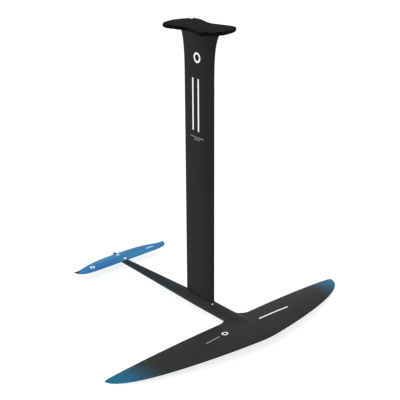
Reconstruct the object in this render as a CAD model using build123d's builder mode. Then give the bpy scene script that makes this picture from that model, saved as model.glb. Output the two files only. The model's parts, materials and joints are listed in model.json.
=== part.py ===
from build123d import *
from math import cos, exp, pi, sqrt
import os

# A hydrofoil for a board: a mast with a four-slot plate on its head, a front wing and fuselage
# moulded in one, and a stabiliser screwed to the tail. Millimetres. +X is forward, +Y is port,
# +Z is up. The origin is the middle of the plate's top face, which the board rests on.

# Mast
MAST_LENGTH = 747.0  # from the plate's top face to the fuselage's crown
MAST_CHORD = 112.5
MAST_THICKNESS = 14.6
MAST_EDGE = 1.0  # the blunt trailing edge
MAST_SKIN = 1.8
WEB_SHARE = 0.36  # where the shear web stands, as a share of the chord behind the nose
WEB_WIDTH = 2.4
FLARE_DEPTH = 110.0
FLARE_LENGTH = 29.0  # the depth in which the flare falls to about a third
FLARE_NOSE = 19.0
FLARE_TAIL = 17.0
FLARE_THICKNESS = 19.0
HEAD_BLOCK_HEIGHT = 60.0
HEAD_BLOCK_SEAT = 4.0  # how far the head block goes up into the plate
FOOT_BLOCK_HEIGHT = 52.0

# Plate
PLATE_THICKNESS = 9.5
PLATE_HALF_LENGTH = 98.2
PLATE_LOBE_HALF_WIDTH = 54.4
PLATE_WAIST_HALF_WIDTH = 39.6
PLATE_RIM = 2.6  # the height and the width of the sloping lower rim
BOLT_SPACING_X = 165.0
BOLT_SPACING_Y = 90.0
SLOT_WIDTH = 8.5
SLOT_INNER_REACH = 11.0  # from a bolt's nominal place to the centre of the slot's round inner end
SPOT_FACE_WIDTH = 17.0
SPOT_FACE_DEPTH = 1.2

# Fuselage
FUSELAGE_RADIUS = 17.8
TAIL_RADIUS = 6.7
TAIL_DROP = 5.8  # how much lower the axis is at the tail's end than under the mast
TAIL_REACH = 404.8  # from the mast's middle to the tail's end
TAIL_LIP_RADIUS = 5.0  # the raised lip behind the stabiliser
TAIL_LIP_RISE = 6.0  # the lip's centre above the barrel's axis there
TAIL_LIP_LENGTH = 5.0
TAPER_START = -4.0  # where the straight barrel begins to taper towards the tail
SHELL_WALL = 2.2
RIDGE_FADE = 1.5  # how late the barrel sinks into the wing towards the leading edge
RIDGE_REACH = 0.72  # the share of the root's chord, from its tail, where the barrel is sunk

# Front wing
WING_SPAN = 819.4
WING_ROOT_CHORD = 131.6
WING_NOSE = 270.3  # the root's leading edge
WING_RISE = 4.7  # the wing's root above the fuselage's axis
WING_DROOP = 31.1  # how far the tips hang below the root
WING_THICKNESS_RATIO = 0.12
WING_CAMBER = 0.02
WING_EDGE = 0.9
WING_SKIN = 1.2
SWEEP_PIVOT = 0.79  # the share of the chord that the sweep is measured at
SWEEP_CURVE = 40.5
SWEEP_TIP = 8.5
GUSSET_RADIUS = 36.0
GUSSET_THICKNESS = 5.0
SPAR_WIDTH = 12.0
SPAR_SHARE = 0.34
SPAR_REACH = 0.8  # as a share of the half span

# Stabiliser
STABILISER_SPAN = 335.8
STABILISER_CHORD = 58.2
STABILISER_NOSE = -340.2
STABILISER_RISE = 1.8  # its middle plane above the fuselage's axis under the mast
STABILISER_THICKNESS_RATIO = 0.11
STABILISER_EDGE = 0.7
STABILISER_SKIN = 0.9
STABILISER_FULLNESS = 2.6  # how square the stabiliser's plan is: 2 is an ellipse
STABILISER_TIP_SHARE = 0.59  # how much of the tip's lost chord comes off the leading edge

# Joints and fasteners
FIT_GAP = 0.35  # all round the mast's foot in its socket, and under the stabiliser
SCREW_GAP = 0.3  # between a screw's shank and its hole
HEAD_GAP = 0.15  # between a screw's head and its seat
TENON_DEPTH = 27.0  # how far the foot goes below the crown
SOCKET_FRONT = 70.0
SOCKET_REAR = -66.0
MAST_SCREW_RADIUS = 3.0
MAST_SCREW_HEAD = 6.0
MAST_SCREW_LENGTH = 22.5
MAST_SCREW_PLACES = {"front": 36.0, "rear": 4.0}
MAST_INSERT_RADIUS = 4.1
MAST_INSERT_LENGTH = 16.0
TAIL_SCREW_RADIUS = 2.5
TAIL_SCREW_HEAD = 4.6
TAIL_SCREW_LENGTH = 12.0
TAIL_SCREW_PLACES = {"front": -348.8, "rear": -385.4}
TAIL_INSERT_RADIUS = 3.4
TAIL_INSERT_LENGTH = 6.8
TAIL_BLOCK_FRONT = -332.0
FERRULE_RADIUS = 5.4
LOCK_SCREW_RADIUS = 2.0
LOCK_SCREW_HEAD = 3.6
LOCK_SCREW_HEAD_HEIGHT = 2.2
LOCK_SCREW_LENGTH = 15.0
LOCK_SCREW_PLACE = (57.6, -6.1)
LOCK_SEAT_DEPTH = 1.3  # the flat seat's depth below the barrel's surface
KEY_SHARE = 0.62  # a hex key's size as a share of the shank's diameter
BLOCK_HALF_WIDTH = 19.5  # the solid middle of the wing

# Places that follow from the sizes above
FOIL_STEPS = 10
AXIS_Z = -(MAST_LENGTH + FUSELAGE_RADIUS)
WING_Z = AXIS_Z + WING_RISE
WING_TAIL = WING_NOSE - WING_ROOT_CHORD
STABILISER_Z = AXIS_Z + STABILISER_RISE
FOOT_Z = -(MAST_LENGTH + TENON_DEPTH)
POCKET_Z = FOOT_Z - FIT_GAP
MAST_NOSE = MAST_CHORD / 2
HALF_SPAN = WING_SPAN / 2
STABILISER_HALF_SPAN = STABILISER_SPAN / 2
MAST_CAVITY = (0.03, 0.84)  # the hollow's ends, as shares of the chord
WING_CAVITY = (0.06, 0.72)
FAR = 2 * (WING_SPAN + MAST_LENGTH)
PARTING_STEP = WING_TAIL - 34.0  # where the mould's parting line turns from the wing to the boom


def half_thickness(share, thickness):
    """Half the thickness of a four-digit foil section, at a share of its chord."""
    root = 1.4845 * sqrt(share) - 0.63 * share
    return thickness * (root - 1.758 * share**2 + 1.4215 * share**3 - 0.5075 * share**4)


def foil_points(shares, nose, chord, thickness, edge, lift, camber, wall):
    """The upper and lower points of a section whose tail points to -X."""
    upper = []
    lower = []
    for share in shares:
        middle = lift + 4 * camber * chord * share * (1 - share)
        half = half_thickness(share, thickness) + edge * share / 2 - wall
        upper.append((nose - chord * share, middle + half))
        lower.append((nose - chord * share, middle - half))
    return upper, lower


def outer_foil(nose, chord, thickness, edge, lift=0.0, camber=0.0):
    """Draw a whole foil section with a round nose and a blunt tail."""
    shares = [(1 - cos(pi * i / FOIL_STEPS)) / 2 for i in range(FOIL_STEPS + 1)]
    upper, lower = foil_points(shares, nose, chord, thickness, edge, lift, camber, 0.0)
    with BuildSketch() as section:
        with BuildLine():
            Spline(*reversed(upper), *lower[1:])
            Line(lower[-1], upper[-1])
        make_face()
    return section.sketch


def inner_foil(ends, nose, chord, thickness, edge, wall, lift=0.0, camber=0.0):
    """Draw the hollow inside a section's skin, cut off square at both ends."""
    start, end = ends
    shares = [start + (end - start) * i / FOIL_STEPS for i in range(FOIL_STEPS + 1)]
    upper, lower = foil_points(shares, nose, chord, thickness, edge, lift, camber, wall)
    with BuildSketch() as section:
        with BuildLine():
            Spline(*upper)
            Line(upper[-1], lower[-1])
            Spline(*reversed(lower))
            Line(lower[0], upper[0])
        make_face()
    return section.sketch


def both_sides(shares):
    """The stations of a half span, from one tip to the other."""
    return [-share for share in reversed(shares)] + [0.0] + list(shares)


def wing_chord(share):
    """The front wing's chord at a share of the half span."""
    return WING_ROOT_CHORD * (1 - abs(share) ** 1.5) ** 0.49


def wing_nose(share):
    """Where the front wing's leading edge is at a share of the half span."""
    pivot = WING_NOSE - SWEEP_PIVOT * WING_ROOT_CHORD
    pivot -= SWEEP_CURVE * abs(share) ** 1.5 + SWEEP_TIP * share**6
    return pivot + SWEEP_PIVOT * wing_chord(share)


def wing_lift(share):
    """The height of the front wing's chord line at a share of the half span."""
    return WING_Z - WING_DROOP * share**2


def stabiliser_chord(share):
    """The stabiliser's chord at a share of its half span."""
    return STABILISER_CHORD * sqrt(1 - abs(share) ** STABILISER_FULLNESS)


def stabiliser_nose(share):
    """Where the stabiliser's leading edge is at a share of its half span."""
    lost = STABILISER_CHORD - stabiliser_chord(share)
    return STABILISER_NOSE - STABILISER_TIP_SHARE * lost * share**8


def stabiliser_top(x):
    """The height of the stabiliser's top surface above the fuselage."""
    share = (STABILISER_NOSE - x) / STABILISER_CHORD
    thickness = STABILISER_THICKNESS_RATIO * STABILISER_CHORD
    return STABILISER_Z + half_thickness(share, thickness) + STABILISER_EDGE * share / 2


def barrel_height(x):
    """The height of the fuselage's axis."""
    if x < TAPER_START:
        return AXIS_Z - TAIL_DROP * (TAPER_START - x) / (TAPER_START + TAIL_REACH)
    if x < WING_TAIL:
        return AXIS_Z
    return AXIS_Z + WING_RISE * ((x - WING_TAIL) / WING_ROOT_CHORD) ** RIDGE_FADE


def barrel_radii(x):
    """The fuselage's half width and half height: round, then fading into the wing's root."""
    if x < TAPER_START:
        taper = (TAPER_START - x) / (TAPER_START + TAIL_REACH)
        radius = FUSELAGE_RADIUS - (FUSELAGE_RADIUS - TAIL_RADIUS) * taper
        return radius, radius
    if x < WING_TAIL:
        return FUSELAGE_RADIUS, FUSELAGE_RADIUS
    forward = (x - WING_TAIL) / WING_ROOT_CHORD
    return FUSELAGE_RADIUS, FUSELAGE_RADIUS * (1 - forward**RIDGE_FADE)


def barrel_section(x, wall):
    """Draw the fuselage's cross-section, a wall's thickness inside its surface."""
    width, height = barrel_radii(x)
    with BuildSketch() as section:
        with Locations((0, barrel_height(x))):
            Ellipse(width - wall, height - wall)
    return section.sketch


WING_STATIONS = both_sides((0.12, 0.25, 0.38, 0.5, 0.62, 0.73, 0.82, 0.89, 0.94, 0.975, 0.9985))
CORE_STATIONS = both_sides((0.15, 0.3, 0.45, 0.6, 0.75, 0.88))
STABILISER_STATIONS = both_sides((0.18, 0.36, 0.54, 0.7, 0.82, 0.9, 0.955, 0.985, 0.9985))
STABILISER_CORE_STATIONS = both_sides((0.18, 0.36, 0.54, 0.7))
RIDGE_STATIONS = [WING_TAIL + WING_ROOT_CHORD * part for part in (0.0, 0.15, 0.3, 0.45, 0.6)]

# ---- The foil body: front wing and fuselage, whole, before it is divided into pieces ----

with BuildPart() as wing_outer:
    for station in WING_STATIONS:
        chord = wing_chord(station)
        with BuildSketch(Plane.XZ.offset(-station * HALF_SPAN)):
            add(
                outer_foil(
                    wing_nose(station),
                    chord,
                    WING_THICKNESS_RATIO * chord,
                    WING_EDGE * sqrt(chord / WING_ROOT_CHORD),
                    wing_lift(station),
                    WING_CAMBER,
                )
            )
    loft()

with BuildPart() as wing_inner:
    for station in CORE_STATIONS:
        chord = wing_chord(station)
        with BuildSketch(Plane.XZ.offset(-station * HALF_SPAN)):
            add(
                inner_foil(
                    WING_CAVITY,
                    wing_nose(station),
                    chord,
                    WING_THICKNESS_RATIO * chord,
                    WING_EDGE,
                    WING_SKIN,
                    wing_lift(station),
                    WING_CAMBER,
                )
            )
    loft()


def barrel(tail, ridge_stations, wall):
    """The fuselage in three runs: a straight taper, a straight barrel and the sinking ridge."""
    with BuildPart() as fuselage:
        for stations in ((tail, TAPER_START), ridge_stations):
            for x in stations:
                with BuildSketch(Plane.YZ.offset(x)):
                    add(barrel_section(x, wall))
            loft()
        with BuildSketch(Plane.YZ.offset(TAPER_START)):
            with Locations((0, AXIS_Z)):
                Circle(FUSELAGE_RADIUS - wall)
        extrude(amount=WING_TAIL - TAPER_START)
    return fuselage


barrel_outer = barrel(
    -TAIL_REACH, RIDGE_STATIONS + [WING_TAIL + WING_ROOT_CHORD * RIDGE_REACH], 0.0
)
barrel_inner = barrel(2 * SHELL_WALL - TAIL_REACH, RIDGE_STATIONS, SHELL_WALL)

with BuildPart() as foil_outer:
    add(wing_outer.part)
    add(barrel_outer.part)
    with BuildSketch(Plane.YZ.offset(-TAIL_REACH)):
        with Locations((0, barrel_height(-TAIL_REACH) + TAIL_LIP_RISE)):
            Circle(TAIL_LIP_RADIUS)
    extrude(amount=TAIL_LIP_LENGTH)
    # the web that rounds off each corner between the trailing edge and the barrel
    with BuildSketch(Plane.XY.offset(WING_Z - GUSSET_THICKNESS / 2)):
        with BuildLine():
            corner_y = FUSELAGE_RADIUS + GUSSET_RADIUS
            gusset_front = WING_TAIL + 2 * GUSSET_THICKNESS
            start = (WING_TAIL - GUSSET_RADIUS, FUSELAGE_RADIUS - 1)
            middle = (
                WING_TAIL - GUSSET_RADIUS * (1 - sqrt(0.5)),
                corner_y - GUSSET_RADIUS * sqrt(0.5),
            )
            end = (WING_TAIL, corner_y)
            Line((start[0], 0), start)
            ThreePointArc(start, middle, end)
            Polyline(end, (gusset_front, corner_y), (gusset_front, 0))
            mirror(about=Plane.XZ)
        make_face()
    extrude(amount=GUSSET_THICKNESS)

with BuildPart() as foil_inner:
    add(wing_inner.part)
    add(barrel_inner.part)

# Everything above the mould's parting line, which follows the wing's chord and the barrel's axis
with BuildPart() as above_parting:
    with BuildSketch(Plane.YZ.offset(PARTING_STEP)):
        with BuildLine():
            drop = WING_Z - WING_DROOP
            Bezier((-HALF_SPAN, drop), (0, WING_Z + WING_DROOP), (HALF_SPAN, drop))
            Polyline((HALF_SPAN, drop), (HALF_SPAN, 0), (-HALF_SPAN, 0), (-HALF_SPAN, drop))
        make_face()
    extrude(amount=WING_NOSE)
    with BuildSketch(Plane.XZ):
        with BuildLine():
            tail_z = barrel_height(-TAIL_REACH)
            Polyline(
                (PARTING_STEP, WING_Z),
                (-TAIL_REACH - 10, tail_z),
                (-TAIL_REACH - 10, 0),
                (PARTING_STEP, 0),
                close=True,
            )
        make_face()
    extrude(amount=HALF_SPAN, both=True)

# ---- What the other pieces take out of the foil body ----

with BuildPart() as mast_pocket:
    with BuildSketch(Plane.XY.offset(POCKET_Z)):
        add(
            outer_foil(
                MAST_NOSE + FIT_GAP,
                MAST_CHORD + 2 * FIT_GAP,
                MAST_THICKNESS + 2 * FIT_GAP,
                MAST_EDGE,
            )
        )
    extrude(amount=2 * TENON_DEPTH)

saddle_z = STABILISER_Z - STABILISER_THICKNESS_RATIO * STABILISER_CHORD / 2 - FIT_GAP
with BuildPart() as saddle:
    with BuildSketch(Plane.XY.offset(saddle_z)):
        with Locations((STABILISER_NOSE - STABILISER_CHORD / 2, 0)):
            Rectangle(STABILISER_CHORD + 4 * FIT_GAP, 6 * TAIL_RADIUS)
    extrude(amount=4 * TAIL_RADIUS)

with BuildPart() as tail_insert_holes:
    for x in TAIL_SCREW_PLACES.values():
        with Locations((x, 0, saddle_z)):
            Cylinder(
                TAIL_INSERT_RADIUS,
                TAIL_INSERT_LENGTH,
                align=(Align.CENTER, Align.CENTER, Align.MAX),
            )

mast_seat_z = AXIS_Z - sqrt(FUSELAGE_RADIUS**2 - MAST_SCREW_HEAD**2)
with BuildPart() as mast_screw_holes:
    for x in MAST_SCREW_PLACES.values():
        with BuildSketch(Plane.XY.offset(mast_seat_z)):
            with Locations((x, 0)):
                Circle(MAST_SCREW_RADIUS + SCREW_GAP)
        extrude(amount=TENON_DEPTH)
        with BuildSketch(Plane.XY.offset(mast_seat_z - HEAD_GAP)):
            with Locations((x, 0)):
                Circle(MAST_SCREW_HEAD + HEAD_GAP)
        extrude(amount=MAST_SCREW_HEAD, taper=45)
        with BuildSketch(Plane.XY.offset(mast_seat_z - HEAD_GAP)):
            with Locations((x, 0)):
                Circle(MAST_SCREW_HEAD + HEAD_GAP)
        extrude(amount=-2 * SHELL_WALL)

lock_x, lock_y = LOCK_SCREW_PLACE
lock_seat_z = AXIS_Z + sqrt(FUSELAGE_RADIUS**2 - lock_y**2) - LOCK_SEAT_DEPTH
with BuildPart() as lock_screw_hole:
    with Locations((lock_x, lock_y, lock_seat_z)):
        Cylinder(
            LOCK_SCREW_RADIUS + SCREW_GAP,
            LOCK_SCREW_LENGTH + SCREW_GAP,
            align=(Align.CENTER, Align.CENTER, Align.MAX),
        )
        Cylinder(
            LOCK_SCREW_HEAD + SCREW_GAP,
            2 * LOCK_SCREW_HEAD,
            align=(Align.CENTER, Align.CENTER, Align.MIN),
        )

with BuildPart() as spar_plan:
    reach = SPAR_REACH * HALF_SPAN
    root_x = WING_NOSE - SPAR_SHARE * WING_ROOT_CHORD
    tip_x = wing_nose(SPAR_REACH) - SPAR_SHARE * wing_chord(SPAR_REACH)
    with BuildSketch(Plane.XY.offset(WING_Z)):
        with BuildLine():
            half = SPAR_WIDTH / 2
            Polyline((root_x + half, 0), (tip_x + half, reach), (tip_x - half, reach))
            Polyline((tip_x - half, reach), (root_x - half, 0))
            mirror(about=Plane.XZ)
        make_face()
    extrude(amount=3 * WING_DROOP, both=True)

# ---- The pieces of the foil body ----

with BuildPart() as foil_upper_shell:
    add(foil_outer.part)
    add(above_parting.part, mode=Mode.INTERSECT)
    add(foil_inner.part, mode=Mode.SUBTRACT)
    add(mast_pocket.part, mode=Mode.SUBTRACT)
    add(saddle.part, mode=Mode.SUBTRACT)
    add(tail_insert_holes.part, mode=Mode.SUBTRACT)
    add(lock_screw_hole.part, mode=Mode.SUBTRACT)

with BuildPart() as foil_lower_shell:
    add(foil_outer.part)
    add(above_parting.part, mode=Mode.SUBTRACT)
    add(foil_inner.part, mode=Mode.SUBTRACT)
    add(mast_screw_holes.part, mode=Mode.SUBTRACT)
    add(saddle.part, mode=Mode.SUBTRACT)
    add(tail_insert_holes.part, mode=Mode.SUBTRACT)

with BuildPart() as wing_spar:
    add(wing_inner.part)
    add(spar_plan.part, mode=Mode.INTERSECT)

with BuildPart() as wing_core_port:
    add(foil_inner.part)
    with Locations((WING_TAIL, BLOCK_HALF_WIDTH, WING_Z)):
        Box(FAR, FAR, FAR, align=(Align.CENTER, Align.MIN, Align.CENTER), mode=Mode.INTERSECT)
    add(spar_plan.part, mode=Mode.SUBTRACT)

with BuildPart() as wing_core_starboard:
    add(foil_inner.part)
    with Locations((WING_TAIL, -BLOCK_HALF_WIDTH, WING_Z)):
        Box(FAR, FAR, FAR, align=(Align.CENTER, Align.MAX, Align.CENTER), mode=Mode.INTERSECT)
    add(spar_plan.part, mode=Mode.SUBTRACT)

with BuildPart() as nose_blocks:
    add(foil_inner.part)
    with Locations((SOCKET_FRONT, 0, WING_Z)):
        Box(
            FAR,
            2 * BLOCK_HALF_WIDTH,
            FAR,
            align=(Align.MIN, Align.CENTER, Align.CENTER),
            mode=Mode.INTERSECT,
        )
    add(spar_plan.part, mode=Mode.SUBTRACT)

with BuildPart() as nose_block_front:
    add(nose_blocks.solids().sort_by(Axis.X)[-1])

with BuildPart() as nose_block_rear:
    add(nose_blocks.solids().sort_by(Axis.X)[0])

with BuildPart() as mast_socket:
    add(barrel_inner.part)
    with Locations((SOCKET_REAR, 0, AXIS_Z)):
        Box(
            SOCKET_FRONT - SOCKET_REAR,
            FAR,
            FAR,
            align=(Align.MIN, Align.CENTER, Align.CENTER),
            mode=Mode.INTERSECT,
        )
    add(mast_pocket.part, mode=Mode.SUBTRACT)
    add(mast_screw_holes.part, mode=Mode.SUBTRACT)
    add(lock_screw_hole.part, mode=Mode.SUBTRACT)

with BuildPart() as boom_core:
    add(barrel_inner.part)
    with Locations((TAIL_BLOCK_FRONT, 0, AXIS_Z)):
        Box(
            SOCKET_REAR - TAIL_BLOCK_FRONT,
            FAR,
            FAR,
            align=(Align.MIN, Align.CENTER, Align.CENTER),
            mode=Mode.INTERSECT,
        )

with BuildPart() as tail_inserts:
    add(tail_insert_holes.part)
    for x in TAIL_SCREW_PLACES.values():
        with Locations((x, 0, saddle_z)):
            Hole(TAIL_SCREW_RADIUS + SCREW_GAP, depth=2 * TAIL_INSERT_LENGTH)

with BuildPart() as tail_block:
    add(barrel_inner.part)
    with Locations((TAIL_BLOCK_FRONT, 0, AXIS_Z)):
        Box(FAR, FAR, FAR, align=(Align.MAX, Align.CENTER, Align.CENTER), mode=Mode.INTERSECT)
    add(saddle.part, mode=Mode.SUBTRACT)
    add(tail_insert_holes.part, mode=Mode.SUBTRACT)

# ---- Mast ----


def flare(depth):
    """How much of the flare is left at a depth below the plate: 1 at the plate, 0 at its end."""
    end = exp(-FLARE_DEPTH / FLARE_LENGTH)
    return (exp(-depth / FLARE_LENGTH) - end) / (1 - end)


flare_z = -(PLATE_THICKNESS + FLARE_DEPTH)
with BuildPart() as mast_outer:
    with BuildSketch(Plane.XY.offset(FOOT_Z)):
        add(outer_foil(MAST_NOSE, MAST_CHORD, MAST_THICKNESS, MAST_EDGE))
    extrude(amount=flare_z - FOOT_Z)
    for part in (1.0, 0.75, 0.55, 0.4, 0.27, 0.17, 0.08, 0.0):
        growth = flare(part * FLARE_DEPTH)
        with BuildSketch(Plane.XY.offset(-PLATE_THICKNESS - part * FLARE_DEPTH)):
            add(
                outer_foil(
                    MAST_NOSE + growth * FLARE_NOSE,
                    MAST_CHORD + growth * (FLARE_NOSE + FLARE_TAIL),
                    MAST_THICKNESS + growth * FLARE_THICKNESS,
                    MAST_EDGE,
                )
            )
    loft()

# the hollow between the two skins, from the foot up into the plate
with BuildPart() as mast_hollow:
    with BuildSketch(Plane.XY.offset(FOOT_Z)):
        add(inner_foil(MAST_CAVITY, MAST_NOSE, MAST_CHORD, MAST_THICKNESS, MAST_EDGE, MAST_SKIN))
    extrude(amount=HEAD_BLOCK_SEAT - PLATE_THICKNESS - FOOT_Z)

with BuildPart() as mast_skin_port:
    add(mast_outer.part)
    split(bisect_by=Plane.XZ, keep=Keep.BOTTOM)
    add(mast_hollow.part, mode=Mode.SUBTRACT)

with BuildPart() as mast_skin_starboard:
    add(mast_outer.part)
    split(bisect_by=Plane.XZ, keep=Keep.TOP)
    add(mast_hollow.part, mode=Mode.SUBTRACT)

head_z = -(PLATE_THICKNESS + HEAD_BLOCK_HEIGHT)
core_z = FOOT_Z + FOOT_BLOCK_HEIGHT
core_height = head_z - core_z
web_x = MAST_NOSE - WEB_SHARE * MAST_CHORD

with BuildPart() as mast_web:
    add(mast_hollow.part)
    with Locations((web_x, 0, core_z)):
        Box(
            WEB_WIDTH,
            FAR,
            core_height,
            align=(Align.CENTER, Align.CENTER, Align.MIN),
            mode=Mode.INTERSECT,
        )

with BuildPart() as mast_core_front:
    add(mast_hollow.part)
    with Locations((web_x + WEB_WIDTH / 2, 0, core_z)):
        Box(
            FAR,
            FAR,
            core_height,
            align=(Align.MIN, Align.CENTER, Align.MIN),
            mode=Mode.INTERSECT,
        )

with BuildPart() as mast_core_rear:
    add(mast_hollow.part)
    with Locations((web_x - WEB_WIDTH / 2, 0, core_z)):
        Box(
            FAR,
            FAR,
            core_height,
            align=(Align.MAX, Align.CENTER, Align.MIN),
            mode=Mode.INTERSECT,
        )

with BuildPart() as mast_head_block:
    add(mast_hollow.part)
    split(bisect_by=Plane.XY.offset(head_z), keep=Keep.TOP)

with BuildPart() as mast_foot_block:
    add(mast_hollow.part)
    split(bisect_by=Plane.XY.offset(core_z), keep=Keep.BOTTOM)
    for x in MAST_SCREW_PLACES.values():
        with Locations((x, 0, FOOT_Z)):
            Cylinder(
                MAST_INSERT_RADIUS,
                MAST_INSERT_LENGTH,
                align=(Align.CENTER, Align.CENTER, Align.MIN),
                mode=Mode.SUBTRACT,
            )

with BuildPart() as mast_foot_inserts:
    for x in MAST_SCREW_PLACES.values():
        with Locations((x, 0, FOOT_Z)):
            Cylinder(
                MAST_INSERT_RADIUS,
                MAST_INSERT_LENGTH,
                align=(Align.CENTER, Align.CENTER, Align.MIN),
            )
            Cylinder(
                MAST_SCREW_RADIUS + SCREW_GAP,
                MAST_INSERT_LENGTH,
                align=(Align.CENTER, Align.CENTER, Align.MIN),
                mode=Mode.SUBTRACT,
            )

# ---- Plate ----

slot_x = BOLT_SPACING_X / 2 - SLOT_INNER_REACH
slot_run = 2 * (PLATE_HALF_LENGTH - slot_x)
slot_places = [
    (x_side * (slot_x + slot_run / 2), y_side * BOLT_SPACING_Y / 2)
    for x_side in (-1, 1)
    for y_side in (-1, 1)
]


def plate_outline(inset):
    """Draw the plate's outline: two round lobes and a waist, drawn in by an inset."""
    length = PLATE_HALF_LENGTH - inset
    lobe = PLATE_LOBE_HALF_WIDTH - inset
    waist = PLATE_WAIST_HALF_WIDTH - inset
    with BuildSketch() as outline:
        with BuildLine():
            Spline(
                (length, 0),
                (0.925 * length, 0.62 * lobe),
                (0.845 * length, 0.885 * lobe),
                (0.665 * length, lobe),
                (0.335 * length, (lobe + waist) / 2),
                (0, waist),
                tangents=[(0, 1), (-1, 0)],
            )
            mirror(about=Plane.YZ)
            mirror(about=Plane.XZ)
        make_face()
    return outline.sketch


with BuildPart() as top_plate:
    with BuildSketch(Plane.XY):
        add(plate_outline(0.0))
    extrude(amount=PLATE_RIM - PLATE_THICKNESS)
    with BuildSketch(Plane.XY.offset(PLATE_RIM - PLATE_THICKNESS)):
        add(plate_outline(0.0))
    with BuildSketch(Plane.XY.offset(-PLATE_THICKNESS)):
        add(plate_outline(PLATE_RIM))
    loft()
    with BuildSketch(Plane.XY):
        with Locations(*slot_places):
            SlotCenterToCenter(slot_run, SLOT_WIDTH)
    extrude(amount=-PLATE_THICKNESS, mode=Mode.SUBTRACT)
    with BuildSketch(Plane.XY.offset(-PLATE_THICKNESS)):
        with Locations(*slot_places):
            SlotCenterToCenter(slot_run, SPOT_FACE_WIDTH)
    extrude(amount=SPOT_FACE_DEPTH, mode=Mode.SUBTRACT)
    add(mast_hollow.part, mode=Mode.SUBTRACT)

# ---- Stabiliser ----

with BuildPart() as stabiliser_outer:
    for station in STABILISER_STATIONS:
        chord = stabiliser_chord(station)
        with BuildSketch(Plane.XZ.offset(-station * STABILISER_HALF_SPAN)):
            add(
                outer_foil(
                    stabiliser_nose(station),
                    chord,
                    STABILISER_THICKNESS_RATIO * chord,
                    STABILISER_EDGE * sqrt(chord / STABILISER_CHORD),
                    STABILISER_Z,
                )
            )
    loft()

with BuildPart() as stabiliser_inner:
    for station in STABILISER_CORE_STATIONS:
        chord = stabiliser_chord(station)
        with BuildSketch(Plane.XZ.offset(-station * STABILISER_HALF_SPAN)):
            add(
                inner_foil(
                    WING_CAVITY,
                    stabiliser_nose(station),
                    chord,
                    STABILISER_THICKNESS_RATIO * chord,
                    STABILISER_EDGE,
                    STABILISER_SKIN,
                    STABILISER_Z,
                )
            )
    loft()

with BuildPart() as ferrule_bores:
    for x in TAIL_SCREW_PLACES.values():
        with Locations((x, 0, STABILISER_Z)):
            Cylinder(FERRULE_RADIUS, STABILISER_CHORD)

with BuildPart() as stabiliser_upper_skin:
    add(stabiliser_outer.part)
    split(bisect_by=Plane.XY.offset(STABILISER_Z), keep=Keep.TOP)
    add(stabiliser_inner.part, mode=Mode.SUBTRACT)
    add(ferrule_bores.part, mode=Mode.SUBTRACT)

with BuildPart() as stabiliser_lower_skin:
    add(stabiliser_outer.part)
    split(bisect_by=Plane.XY.offset(STABILISER_Z), keep=Keep.BOTTOM)
    add(stabiliser_inner.part, mode=Mode.SUBTRACT)
    add(ferrule_bores.part, mode=Mode.SUBTRACT)

with BuildPart() as stabiliser_core:
    add(stabiliser_inner.part)
    add(ferrule_bores.part, mode=Mode.SUBTRACT)

with BuildPart() as stabiliser_ferrules:
    add(stabiliser_outer.part)
    add(ferrule_bores.part, mode=Mode.INTERSECT)
    for x in TAIL_SCREW_PLACES.values():
        with Locations((x, 0, stabiliser_top(x) + HEAD_GAP)):
            CounterSinkHole(
                TAIL_SCREW_RADIUS + SCREW_GAP,
                TAIL_SCREW_HEAD + HEAD_GAP,
                depth=STABILISER_CHORD,
                counter_sink_angle=90,
            )

# ---- Screws ----


def countersunk_screw(x, radius, head, length, face_z, direction):
    """A countersunk screw whose flat face is at face_z. direction is 1 if it points up."""
    with BuildPart() as screw:
        with BuildSketch(Plane.XY.offset(face_z)):
            with Locations((x, 0)):
                Circle(head)
        extrude(amount=direction * (head - radius), taper=45)
        with BuildSketch(Plane.XY.offset(face_z)):
            with Locations((x, 0)):
                Circle(radius)
        extrude(amount=direction * length)
        with BuildSketch(Plane.XY.offset(face_z)):
            with Locations((x, 0)):
                RegularPolygon(KEY_SHARE * radius, 6, major_radius=False)
        extrude(amount=direction * radius, mode=Mode.SUBTRACT)
    return screw


def mast_screw(place):
    """A screw that pulls the mast's foot down into its socket, from below."""
    return countersunk_screw(
        MAST_SCREW_PLACES[place],
        MAST_SCREW_RADIUS,
        MAST_SCREW_HEAD,
        MAST_SCREW_LENGTH,
        mast_seat_z,
        1,
    )


def stabiliser_screw(place):
    """A screw that holds the stabiliser down on the tail, from above."""
    return countersunk_screw(
        TAIL_SCREW_PLACES[place],
        TAIL_SCREW_RADIUS,
        TAIL_SCREW_HEAD,
        TAIL_SCREW_LENGTH,
        stabiliser_top(TAIL_SCREW_PLACES[place]) + HEAD_GAP,
        -1,
    )


mast_screw_front = mast_screw("front")
mast_screw_rear = mast_screw("rear")
stabiliser_screw_front = stabiliser_screw("front")
stabiliser_screw_rear = stabiliser_screw("rear")

with BuildPart() as lock_screw:
    with BuildSketch(Plane.XY.offset(lock_seat_z + HEAD_GAP)):
        with Locations(LOCK_SCREW_PLACE):
            Circle(LOCK_SCREW_HEAD)
    extrude(amount=LOCK_SCREW_HEAD_HEIGHT)
    fillet(lock_screw.edges().sort_by(Axis.Z)[-1], LOCK_SCREW_HEAD_HEIGHT / 2)
    with BuildSketch(Plane.XY.offset(lock_seat_z + HEAD_GAP)):
        with Locations(LOCK_SCREW_PLACE):
            Circle(LOCK_SCREW_RADIUS)
    extrude(amount=HEAD_GAP - LOCK_SCREW_LENGTH)
    with BuildSketch(Plane.XY.offset(lock_seat_z + HEAD_GAP + LOCK_SCREW_HEAD_HEIGHT)):
        with Locations(LOCK_SCREW_PLACE):
            RegularPolygon(KEY_SHARE * LOCK_SCREW_RADIUS, 6, major_radius=False)
    extrude(amount=-LOCK_SCREW_HEAD_HEIGHT / 2, mode=Mode.SUBTRACT)

# ---- Labels and files ----

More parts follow.
